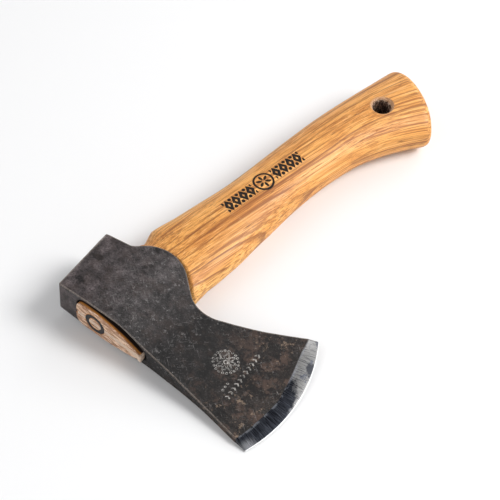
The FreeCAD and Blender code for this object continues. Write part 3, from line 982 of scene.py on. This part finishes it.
class Shader:
    """Builds one procedural material around a Principled surface."""

    def __init__(self, name):
        self.material = bpy.data.materials.new(name)
        self.material.use_nodes = True
        self.nodes, self.links = self.material.node_tree.nodes, self.material.node_tree.links
        self.nodes.clear()
        output = self.nodes.new("ShaderNodeOutputMaterial")
        self.surface = self.nodes.new("ShaderNodeBsdfPrincipled")
        self.links.new(self.surface.outputs["BSDF"], output.inputs["Surface"])
        self.place = self.node("ShaderNodeMapping", "Vector", {
            "Vector": self.node("ShaderNodeTexCoord", "Object"), "Location": tuple(ORIGIN),
            "Rotation": tuple(ROTATION.to_euler()), "Scale": (MM, MM, MM)}, vector_type="TEXTURE")

    def node(self, kind, output, inputs=None, **settings):
        made = self.nodes.new(kind)
        for key, value in settings.items():
            setattr(made, key, value)
        for key, value in (inputs or {}).items():
            self.put(made.inputs[key], value)
        return Value(self, made.outputs[output])

    def put(self, socket, value):
        if isinstance(value, Value):
            self.links.new(value.socket, socket)
        else:
            if socket.type == "RGBA" and len(value) == 3:
                value = (*value, 1)
            socket.default_value = value

    def set(self, **values):
        for key, value in values.items():
            self.put(self.surface.inputs[key.replace("_", " ")], value)

    def math(self, operation, a, b=0.0, clamp=False):
        return self.node("ShaderNodeMath", 0, {0: a, 1: b}, operation=operation, use_clamp=clamp)

    def most(self, first, *others):
        for other in others:
            first = self.math("MAXIMUM", first, other)
        return first

    def reach(self, a, b):
        """Distance from the origin of a and b."""
        return self.math("SQRT", a ** 2.0 + b ** 2.0)

    def band(self, value, low, high, start=0.0, end=1.0):
        """Smooth rise from start to end as value goes from low to high."""
        return self.node("ShaderNodeMapRange", "Result", {
            "Value": value, "From Min": low, "From Max": high, "To Min": start, "To Max": end},
            interpolation_type="SMOOTHSTEP")

    def mix(self, share, a, b, blend="MIX"):
        return self.node("ShaderNodeMix", 2, {0: share, 6: a, 7: b}, data_type="RGBA", blend_type=blend)

    def blur(self, share, a, b):
        """Mix of two plain numbers."""
        return self.node("ShaderNodeMix", 0, {0: share, 2: a, 3: b}, data_type="FLOAT")

    def stretch(self, scale, place, shift):
        """Place scaled as a whole or per axis; larger numbers are finer."""
        scale = scale if isinstance(scale, tuple) else (scale,) * 3
        return self.node("ShaderNodeMapping", "Vector", {
            "Vector": place or self.place, "Scale": scale, "Location": shift})

    def turned(self, *degrees):
        """Place turned about the three axes."""
        return self.node("ShaderNodeMapping", "Vector", {
            "Vector": self.place, "Rotation": tuple(math.radians(angle) for angle in degrees)})

    def grain(self, scale, detail=3.0, rough=0.55, place=None, shift=(0, 0, 0), distort=0.0):
        """Noise over the place."""
        return self.node("ShaderNodeTexNoise", "Fac", {
            "Vector": self.stretch(scale, place, shift), "Scale": 1.0,
            "Detail": detail, "Roughness": rough, "Distortion": distort})

    def cells(self, scale, shift=(0, 0, 0), output="Distance"):
        """Random dots: the distance to the nearest, or its colour."""
        return self.node("ShaderNodeTexVoronoi", output, {
            "Vector": self.stretch(scale, None, shift), "Scale": 1.0})

    def attribute(self, name):
        return self.node("ShaderNodeAttribute", "Fac", attribute_name=name)

    def ramp(self, value, stops):
        """Colour by value, through (position, colour) stops."""
        made = self.nodes.new("ShaderNodeValToRGB")
        self.put(made.inputs[0], value)
        set_stops(made, stops)
        return Value(self, made.outputs[0])

    def bump(self, height, distance):
        return self.node("ShaderNodeBump", "Normal", {
            "Height": height, "Distance": distance, "Strength": 1.0})

    def from_point(self, point):
        return self.node("ShaderNodeVectorMath", "Vector", {0: self.place, 1: (*point, 0)},
                         operation="SUBTRACT")

    def vector(self, *axes):
        return self.node("ShaderNodeCombineXYZ", "Vector", dict(enumerate(axes)))

    def axes(self, vector):
        made = self.nodes.new("ShaderNodeSeparateXYZ")
        self.put(made.inputs[0], vector)
        return [Value(self, socket) for socket in made.outputs]


def set_stops(ramp_node, stops):
    points = ramp_node.color_ramp.elements
    while len(points) < len(stops):
        points.new(0.5)
    for point, (position, colour) in zip(points, stops):
        point.position, point.color = position, (*colour, 1)


def forge_scale(sh, x, mottle, fine):
    """Colour of the dark scale: greyer by the poll, where it is partly a painted sheen; near black in
    the middle, partly painted shade and partly sooty patches; brown by the bit.
    """
    broad = sh.grain(0.045, 4, 0.6)
    along = x + (broad - 0.5) * 70
    # The tone along the head is partly painted light: a painted reddish sheen by the poll, and painted
    # shade over the middle and the blade.
    tone = sh.ramp(along / 130, [
        (0.04, (0.185, 0.150, 0.152)), (0.28, (0.150, 0.132, 0.132)), (0.46, (0.050, 0.045, 0.045)),
        (0.66, (0.026, 0.024, 0.024)), (0.92, (0.056, 0.045, 0.040))])
    shade = sh.ramp(mottle, [(0.34, (0.14,) * 3), (0.50, (0.42,) * 3), (0.66, (0.90,) * 3)])
    colour = sh.mix(1.0, tone, shade, "MULTIPLY")
    grit = sh.grain((0.95, 1.5, 1.2), 4, 0.75, shift=(4, 3, 8), distort=0.8)
    colour = sh.mix(sh.band(grit, 0.54, 0.66, 0.0, 0.30), colour, (0.150, 0.136, 0.130))
    colour = sh.mix(sh.band(grit, 0.48, 0.38, 0.0, 0.50), colour, (0.007, 0.006, 0.006))
    soot = sh.grain(0.085, 5, 0.66, shift=(6, 2, 8)) + sh.band(x, 30, 90, -0.03, 0.03)
    colour = sh.mix(sh.band(soot, 0.53, 0.62, 0.0, 0.82), colour, (0.009, 0.008, 0.008))
    colour = sh.mix(sh.band(fine, 0.56, 0.40, 0.0, 0.50), colour, (0.008, 0.007, 0.007))
    towards_bit = sh.band(x, 78, 112)
    rust = sh.grain(0.11, 6, 0.74, shift=(9, 4, 7))
    rust = sh.band(rust, 0.48, 0.60) * sh.blur(towards_bit, 0.16, 0.80)
    colour = sh.mix(rust, colour, (0.085, 0.054, 0.042))
    tan = sh.grain(0.26, 7, 0.78, shift=(2, 8, 5))
    tan = sh.band(tan, 0.57, 0.64) * sh.blur(towards_bit, 0.0, 0.85)
    return sh.mix(tan, colour, (0.25, 0.180, 0.130))


def bare_spots(sh, x):
    """Worn specks, fine hairlines and scuffs where bare metal shows through the scale."""
    patch = sh.grain(0.07, 4, 0.7, shift=(1, 9, 4))
    worn = sh.band(patch, 0.44, 0.58) * sh.band(x, 12, 34, 0.25, 1.0)
    chosen = sh.band(sh.axes(sh.cells(0.62, output="Color"))[0], 0.80, 0.90)
    specks = sh.band(sh.cells(0.62), 0.30, 0.14) * chosen * sh.blur(worn, 0.15, 0.80)
    curl = sh.grain(0.24, 1.3, 0.5, shift=(5, 2, 1), distort=1.8)
    hairs = sh.band(abs(curl - 0.5), 0.034, 0.012)
    curl_b = sh.grain(0.46, 1.2, 0.5, shift=(2, 6, 3), distort=2.4)
    hairs_b = sh.band(abs(curl_b - 0.5), 0.046, 0.020)
    broken = sh.band(sh.grain(0.36, 3, 0.7, shift=(8, 8, 1)), 0.53, 0.68)
    middle = sh.band(x, 14, 34) * sh.band(x, 96, 62, 0.25, 1.0)
    hairs = sh.most(hairs, hairs_b) * (middle * broken)
    one_way, other_way = sh.turned(0, 0, 38), sh.turned(0, 0, -52)
    scuffs = sh.grain((0.15, 2.2, 1.0), 2, 0.6, place=one_way, distort=0.3)
    scuffs_b = sh.grain((0.17, 2.4, 1.0), 2, 0.6, place=other_way, shift=(5, 2, 1), distort=0.4)
    scuffs = sh.band(sh.most(scuffs, scuffs_b), 0.64, 0.70) * worn
    return sh.most(specks, hairs, scuffs * 0.8)


def worn_and_highlit_scale(sh, colour, bare, fine):
    """The scale's colour with its bare spots, rubbed rims that are also lightened as a painted edge
    highlight, and punched marks with painted glints on their lips.
    """
    wear, punched = sh.attribute("wear"), sh.attribute("punched")
    colour = sh.mix(bare * 0.50, colour, (0.33, 0.315, 0.31))
    # Rubbed arrises painted lighter: partly worn metal, partly a painted highlight along the edges.
    rim = sh.band(wear, 0.45, 1.0) * sh.band(fine, 0.38, 0.60, 0.30, 1.0)
    colour = sh.mix(rim * 0.55, colour, (0.33, 0.28, 0.24))
    # The punched lips painted light: fresh metal, partly a painted glint.
    lip_metal_and_glint = sh.band(punched, 0.04, 0.22) * sh.band(punched, 0.85, 0.45)
    lip_metal_and_glint = lip_metal_and_glint * sh.band(sh.grain(0.8, 3, shift=(7, 7, 7)), 0.38, 0.54, 0.15, 1.0)
    colour = sh.mix(lip_metal_and_glint * 0.85, colour, (0.50, 0.48, 0.45))
    return sh.mix(sh.band(punched, 0.55, 0.90, 0, 0.85), colour, (0.010, 0.009, 0.008))


def ground_bevel(sh, y, z, ground):
    """Colour of the ground steel, the wheel's lines across it, and its honed strip, with painted
    reflections and highlights over it.
    """
    cx, cy, _ = sh.axes(sh.from_point(BIT_CENTRE))
    around = sh.math("ARCTAN2", cy, cx) * BIT_RADIUS
    across = sh.attribute("across")
    polar = sh.vector(across * 9.0, around, z)
    lines = sh.grain((0.10, 1.5, 0.1), 5, 0.72, place=polar)
    cloud = sh.grain((0.24, 0.14, 0.2), 6, 0.70, place=polar, shift=(4, 2, 0))
    polished = sh.ramp(lines, [
        (0.32, (0.170, 0.170, 0.175)), (0.5, (0.215, 0.213, 0.210)), (0.70, (0.270, 0.266, 0.260))])
    # Blue-black clouds over the polished steel: painted dark reflections.
    polished = sh.mix(sh.band(cloud, 0.56, 0.66, 0, 0.80), polished, (0.085, 0.095, 0.125))
    # Near black towards the toe and the middle, lighter towards the heel: painted reflections of dark
    # and bright surroundings.
    dark = sh.ramp(lines, [
        (0.34, (0.003, 0.004, 0.007)), (0.5, (0.011, 0.013, 0.019)), (0.68, (0.050, 0.055, 0.068))])
    from_toe = y + across * 17.0 + (cloud - 0.5) * 34.0
    steel = sh.mix(sh.band(from_toe, 33, 41), dark, polished)
    # A painted dark reflection near the heel.
    dark_reflection_blotch = ((y - 45.5) / 4.5) ** 2.0 + ((across - 0.78) / 0.30) ** 2.0
    dark_reflection_blotch += (cloud - 0.5) * 5.0
    steel = sh.mix(sh.band(dark_reflection_blotch, 1.2, 0.5, 0.0, 0.85), steel, (0.020, 0.023, 0.034))
    tail = y * 0.22 + across * 1.8
    steel = sh.mix(sh.band(tail, 14.2, 14.7, 0.0, 0.80), steel, (0.060, 0.064, 0.078))
    # A painted light reflection towards the toe's corner.
    corner = sh.band(y, -4, -10) * sh.band(across, 0.2, 0.7)
    steel = sh.mix(corner * 0.6, steel, (0.24, 0.245, 0.26))
    # A painted glint along the grind line.
    root = sh.band(across, 0.14, 0.02) * sh.band(cloud, 0.42, 0.52)
    steel = sh.mix(root * 0.35, steel, (0.40, 0.42, 0.46))
    # The honed strip at the very edge: partly the honed steel, partly a painted highlight, painted near
    # white.
    honed = sh.band(across, 0.950, 0.955) * ground
    return sh.mix(honed, steel, (0.93, 0.93, 0.93)), lines, honed


def forged_steel():
    """Dark forge scale with worn specks and brown patches, a painted sheen by the poll and painted
    shade towards the bit; bright ground steel at the bit, with painted reflections and a painted
    highlight along its honed edge.
    """
    sh = Shader("forge_scale_and_ground_steel")
    ground = sh.attribute("ground")
    x, y, z = sh.axes(sh.place)
    mottle = sh.grain(0.17, 7, 0.70, shift=(3, 1, 2))
    fine = sh.grain(1.1, 5, 0.72)
    bare = bare_spots(sh, x)
    steel, lines, honed = ground_bevel(sh, y, z, ground)
    colour = worn_and_highlit_scale(sh, forge_scale(sh, x, mottle, fine), bare, fine)
    colour = sh.mix(ground, colour, steel)

    matt = sh.band(x, 20, 70, 0.40, 0.58)
    rough_scale = sh.blur(bare, matt + sh.band(mottle, 0.35, 0.62, -0.06, 0.08), 0.32)
    rough_ground = sh.blur(honed, sh.blur(sh.band(lines, 0.3, 0.7), 0.24, 0.36), 0.40)
    pits = sh.band(sh.cells(0.55, shift=(4, 4, 4)), 0.0, 0.30)
    height = fine * 0.9 + mottle * 2.0 + pits * 0.45 - bare * 0.30
    relief = sh.blur(ground, height, lines * 0.02)
    metal = sh.blur(ground, sh.blur(bare, 0.25, 0.8), 0.65) - honed * 0.6
    sh.set(Base_Color=colour, Metallic=metal, Specular_IOR_Level=0.32,
           Roughness=sh.blur(ground, rough_scale, rough_ground), Normal=sh.bump(relief, 0.00030))
    return sh.material


GRAIN_LEAN, GRAIN_SLOPE = 1.2, 0.215
GRIP_EDGE, GRIP_WIDTH = 3.0, 36.0
FLARE_START, FLARE_LENGTH, FLARE = 181.0, 57.0, 18.0


def grain_space(sh):
    """Place turned so that its Y runs along the wood's fibres, which fan out in the knob."""
    gx, gy, gz = sh.axes(sh.turned(GRAIN_LEAN, 0, math.degrees(math.atan(GRAIN_SLOPE))))
    along = (gy - FLARE_START) / FLARE_LENGTH
    flare = sh.most(along, 0.0) ** 2.0 * FLARE
    squeeze = GRIP_WIDTH / (flare + GRIP_WIDTH)
    across = (gx + GRIP_EDGE) * squeeze - GRIP_EDGE
    return sh.vector(across, gy, gz)


def grown_wood(sh):
    """Colour of the wood along its fibres, with growth lines and streaks; its fibres and pores."""
    space = grain_space(sh)
    gx, _, gz = sh.axes(space)
    wander = sh.grain((0.03, 0.004, 0.03), 2, 0.5, place=space)
    layer = gx * 0.95 + gz * 0.16 + wander * 10.0
    ring = sh.math("FRACT", layer * 0.21)
    early = sh.band(ring, 0.0, 0.04) * sh.band(ring, 0.30, 0.06)
    tone = sh.grain((0.085, 0.006, 0.085), 4, 0.6, place=space, shift=(3, 3, 3))
    colour = sh.ramp(tone, [
        (0.34, (0.62, 0.250, 0.056)), (0.5, (0.82, 0.390, 0.100)), (0.66, (0.93, 0.510, 0.160))])
    fibres = sh.grain((1.6, 0.014, 1.6), 4, 0.74, place=space)
    colour = sh.mix(sh.band(fibres, 0.48, 0.60, 0.0, 0.74), colour, (0.36, 0.118, 0.026))
    colour = sh.mix(sh.band(fibres, 0.46, 0.36, 0.0, 0.50), colour, (0.97, 0.60, 0.260))
    streaks = sh.grain((0.50, 0.0045, 0.50), 5, 0.70, place=space, shift=(8, 1, 4))
    colour = sh.mix(sh.band(streaks, 0.52, 0.60, 0.0, 0.72), colour, (0.29, 0.092, 0.022))
    lines_on = sh.band(sh.grain((0.10, 0.006, 0.10), 3, place=space, shift=(2, 7, 1)), 0.44, 0.60)
    colour = sh.mix(early * (lines_on * 0.72), colour, (0.22, 0.066, 0.018))
    pores = sh.grain((1.9, 0.085, 1.9), 3, 0.66, place=space, shift=(1, 6, 2))
    in_patch = sh.grain((0.12, 0.02, 0.12), 3, place=space, shift=(5, 5, 2))
    in_patch = sh.band(in_patch, 0.42, 0.58, 0.15, 1.0)
    pore = sh.band(pores, 0.60, 0.67) * sh.most(early, in_patch)
    return sh.mix(pore * 0.75, colour, (0.130, 0.040, 0.012)), fibres, pore


def sawn_wood(sh):
    """Colour of the tongue's sawn end, where the grain shows end on, and its rays."""
    rays = sh.grain((0.16, 1.2, 1.3), 5, 0.72)
    pale = sh.ramp(rays, [
        (0.40, (0.21, 0.090, 0.045)), (0.5, (0.60, 0.365, 0.230)), (0.59, (0.88, 0.68, 0.52))])
    stain = sh.band(sh.grain((0.07, 0.1, 0.26), 4, 0.6, shift=(2, 2, 9)), 0.50, 0.60, 0.0, 0.75)
    pale = sh.mix(stain, pale, (0.33, 0.165, 0.095))
    vessels = sh.band(sh.cells((2.4, 0.2, 2.4)), 0.20, 0.08, 0.0, 0.5)
    return sh.mix(vessels, pale, (0.20, 0.10, 0.06)), rays


def hickory():
    """Oiled hickory: warm tan with brown growth lines, pores and streaks; pale where sawn; painted
    shade inside the hanging hole and on the tongue's side in the eye's mouth.
    """
    sh = Shader("oiled_hickory")
    sawn, butt = sh.attribute("sawn"), sh.attribute("butt")
    colour, fibres, pore = grown_wood(sh)
    pale, rays = sawn_wood(sh)
    colour = sh.mix(butt * 0.35, colour, (0.45, 0.22, 0.09))
    colour = sh.mix(sawn, colour, pale)
    x, y, _ = sh.axes(sh.place)
    tongue_side = sh.band(y, 10, 2) * (1.0 - sawn)
    colour = sh.mix(tongue_side * 0.85, colour, (0.62, 0.235, 0.045))
    # Painted shade: more than about 1 mm below its end face, the tongue's side is painted near black
    # where the gap in the eye's mouth lies in shade.
    below_face = y + x * FACE_SLANT + FACE_RISE
    colour = sh.mix(tongue_side * sh.band(below_face, 1.0, 2.2), colour, (0.012, 0.005, 0.003))

    # Inside the hanging hole the wood is painted near black, a painted shade in the bore, broken up by
    # torn fibres.
    reach = sh.reach(x - HOLE[0], y - HOLE[1])
    torn = sh.grain((1.2, 1.2, 0.35), 4, 0.7)
    inside = sh.band(reach + (torn - 0.5) * 2.6, 5.8, 5.1)
    colour = sh.mix(inside * sh.band(torn, 0.45, 0.62, 0.97, 0.50), colour, (0.024, 0.008, 0.004))
    rim = sh.band(reach, 7.3, 6.8) * sh.band(reach, 5.3, 6.0)
    colour = sh.mix(rim * 0.5, colour, (0.60, 0.33, 0.155))

    burnt = burnt_border(sh)
    colour = sh.mix(burnt * 0.99, colour, (0.004, 0.003, 0.002))

    rough = sh.blur(sh.band(fibres, 0.35, 0.65), 0.44, 0.56)
    rough = sh.blur(sh.most(sawn, inside, burnt), rough, 0.90)
    height = fibres * 0.35 - pore * 0.55 - burnt * 0.9 + rays * sawn * 1.6 + torn * inside * 2.5
    sh.set(Base_Color=colour, Roughness=rough, Specular_IOR_Level=0.42, Normal=sh.bump(height, 0.00020))
    return sh.material


BORDER_START, BORDER_END = (38.3, 92.6), (48.7, 149.4)


def burnt_border(sh):
    """Mask of a burned-in border: lozenges and dots either side of a six-petalled rosette."""
    length = math.dist(BORDER_START, BORDER_END)
    turn = math.atan2(BORDER_END[0] - BORDER_START[0], BORDER_END[1] - BORDER_START[1])
    middle = [(a + b) / 2 for a, b in zip(BORDER_START, BORDER_END)]
    local = sh.node("ShaderNodeMapping", "Vector", {
        "Vector": sh.from_point(middle), "Rotation": (0, 0, turn)})
    s, t, _ = sh.axes(local)
    _, _, z = sh.axes(sh.place)
    side, far = abs(s), abs(t)
    inner, pitch = 7.2, 5.3
    cell = sh.math("FRACT", (far - inner) / pitch) - 0.5
    along = abs(cell) * pitch
    lozenge = side / 4.2 + along / 2.45
    shape = sh.band(lozenge, 1.08, 1.02) - sh.band(lozenge, 0.30, 0.24)
    dot = sh.reach(pitch / 2 - along, side - 2.9)
    shape = sh.most(shape, sh.band(dot, 1.15, 1.0))
    end = length / 2
    shape *= sh.band(far, inner - 0.1, inner + 0.1) * sh.band(far, end - 0.1, end - 0.3)
    distance = sh.reach(s, t)
    ring = sh.band(distance, 4.85, 5.0) * sh.band(distance, 6.25, 6.1)
    petals = abs(sh.math("COSINE", sh.math("ARCTAN2", t, s) * 3.0))
    flower = sh.band(distance - petals * 4.3, 0.12, -0.12) * sh.band(distance, 1.0, 1.15)
    shape = sh.most(shape, ring, flower) * sh.band(z, 5, 6)
    patchy = sh.band(sh.grain((1.4, 0.5, 1.4), 3, 0.6), 0.28, 0.42, 0.90, 1.0)
    return sh.math("MULTIPLY", shape, patchy, clamp=True)


def wedge_wood():
    """Raw end of the wooden wedge."""
    sh = Shader("raw_wedge_wood")
    rays = sh.grain((0.5, 1.2, 3.0), 4, 0.7, shift=(5, 5, 5))
    colour = sh.ramp(rays, [
        (0.3, (0.46, 0.31, 0.22)), (0.5, (0.66, 0.50, 0.38)), (0.72, (0.80, 0.67, 0.55))])
    vessels = sh.band(sh.cells((2.2, 0.3, 2.8)), 0.22, 0.08, 0.0, 0.45)
    colour = sh.mix(vessels, colour, (0.25, 0.14, 0.08))
    sh.set(Base_Color=colour, Roughness=sh.blur(rays, 0.78, 0.92), Normal=sh.bump(rays, 0.00022))
    return sh.material


def ring_steel():
    """Dark oxidised ring with rubbed edges."""
    sh = Shader("oxidised_ring_steel")
    mottle = sh.grain(0.9, 5, 0.65)
    fine = sh.grain(3.5, 3, 0.6)
    colour = sh.ramp(mottle, [
        (0.3, (0.014, 0.014, 0.016)), (0.55, (0.035, 0.034, 0.036)), (0.75, (0.09, 0.085, 0.08))])
    colour = sh.mix(sh.band(fine, 0.60, 0.70, 0, 0.4), colour, (0.22, 0.19, 0.17))
    sh.set(Base_Color=colour, Metallic=0.6, Roughness=sh.blur(fine, 0.42, 0.6),
           Normal=sh.bump(fine, 0.00008))
    return sh.material


def plain_floor():
    sh = Shader("pale_floor")
    cloud = sh.grain(0.002, 2)
    sh.set(Base_Color=sh.mix(cloud, (0.86, 0.86, 0.86), (0.88, 0.88, 0.88)), Roughness=0.75)
    return sh.material


# ---------------------------------------------------------------- floor, lights and camera

CAMERA_OFFSET = Vector((0.375243, -0.347163, 0.607310))
AIM_OFFSET = Vector((0.054733, 0.094767, -0.014490))
CAMERA_ROLL = math.radians(0.18)
LENS = 108.0
FLOOR_REACH = 6.0


def set_camera():
    data = bpy.data.cameras.new("studio_camera")
    data.lens, data.sensor_width, data.clip_start = LENS, 36.0, 0.01
    camera = link_object("studio_camera", data)
    camera.location = ORIGIN + CAMERA_OFFSET
    facing = (AIM_OFFSET - CAMERA_OFFSET).to_track_quat("-Z", "Y")
    camera.rotation_mode = "QUATERNION"
    camera.rotation_quaternion = facing @ Quaternion((0, 0, 1), CAMERA_ROLL)
    bpy.context.scene.camera = camera


def set_floor():
    mesh = bpy.data.meshes.new("floor")
    signs = ((-1, -1), (1, -1), (1, 1), (-1, 1))
    mesh.from_pydata([(x * FLOOR_REACH, y * FLOOR_REACH, 0) for x, y in signs], [], [(0, 1, 2, 3)])
    floor = link_object("floor", mesh)
    floor.location.z = cad_box[0][2]
    mesh.materials.append(plain_floor())


def add_softbox(name, place, width, height, power):
    """Rectangular light at a place from the middle of the part, facing it."""
    data = bpy.data.lights.new(name, "AREA")
    data.shape, data.size, data.size_y, data.energy = "RECTANGLE", width, height, power
    light = link_object(name, data)
    light.location = (Vector(cad_box[0]) + Vector(cad_box[1])) / 2 + Vector(place)
    light.rotation_mode = "QUATERNION"
    light.rotation_quaternion = (-Vector(place)).to_track_quat("-Z", "Y")


def set_world():
    """Plain studio surroundings: pale walls, darker overhead."""
    world = bpy.data.worlds.new("studio")
    bpy.context.scene.world = world
    world.use_nodes = True
    nodes, links = world.node_tree.nodes, world.node_tree.links
    background = nodes["Background"]
    direction = nodes.new("ShaderNodeTexCoord")
    split = nodes.new("ShaderNodeSeparateXYZ")
    ramp = nodes.new("ShaderNodeValToRGB")
    links.new(direction.outputs["Generated"], split.inputs[0])
    links.new(split.outputs["Z"], ramp.inputs[0])
    links.new(ramp.outputs[0], background.inputs["Color"])
    levels = ((0.0, 0.75), (0.45, 0.75), (0.72, 0.28), (1.0, 0.06))
    set_stops(ramp, [(height, (level, level, level * 1.02)) for height, level in levels])


def set_lights():
    set_world()
    add_softbox("key", (0.98, 0.56, 1.1), 0.75, 0.75, 24)
    add_softbox("fill", (-0.6, -0.9, 0.9), 1.0, 1.0, 4.2)
    add_softbox("back", (0.1, 1.3, 0.85), 1.4, 0.5, 4.5)
    bpy.context.scene.view_settings.view_transform = "Standard"


# ---------------------------------------------------------------- assembly

set_camera()
set_floor()
set_lights()

for piece, material in ((build_head(), forged_steel()), (build_handle(), hickory()),
                        (build_wood_wedge(), wedge_wood()), (build_ring(), ring_steel())):
    piece.data.materials.clear()
    piece.data.materials.append(material)
